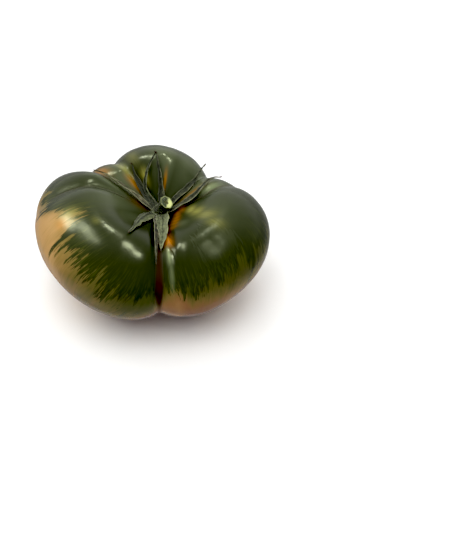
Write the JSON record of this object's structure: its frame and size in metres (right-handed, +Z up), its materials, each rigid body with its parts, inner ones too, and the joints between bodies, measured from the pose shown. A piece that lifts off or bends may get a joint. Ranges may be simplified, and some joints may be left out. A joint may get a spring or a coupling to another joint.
{
  "type": "raf tomato",
  "caption": "Whole ribbed green salad tomato with deep furrows, a star of dry sepals in a shallow hollow and a short cut stalk, resting on its flat underside.",
  "frame": {"origin": "on the resting surface, under the middle of the fruit's bounding box", "axes": "+Z up through the stalk end, +X to the right along the widest direction, -Y to the front, where the deep front furrow runs down"},
  "size_m": [0.0904, 0.0735, 0.0602],
  "materials": {
    "tomato_skin": "glossy waxy tomato skin, dark green shoulders running in streaks into olive, ochre and tan, with red-brown furrows",
    "dry_calyx": "matt, dry grey-green leaf with brown margins",
    "green_stalk": "matt, green woody stalk with a pale moist cut"
  },
  "bodies": {
    "root": {"fruit": "tomato_skin", "calyx": "dry_calyx", "stem_stub": "green_stalk"}
  },
  "joints": []
}
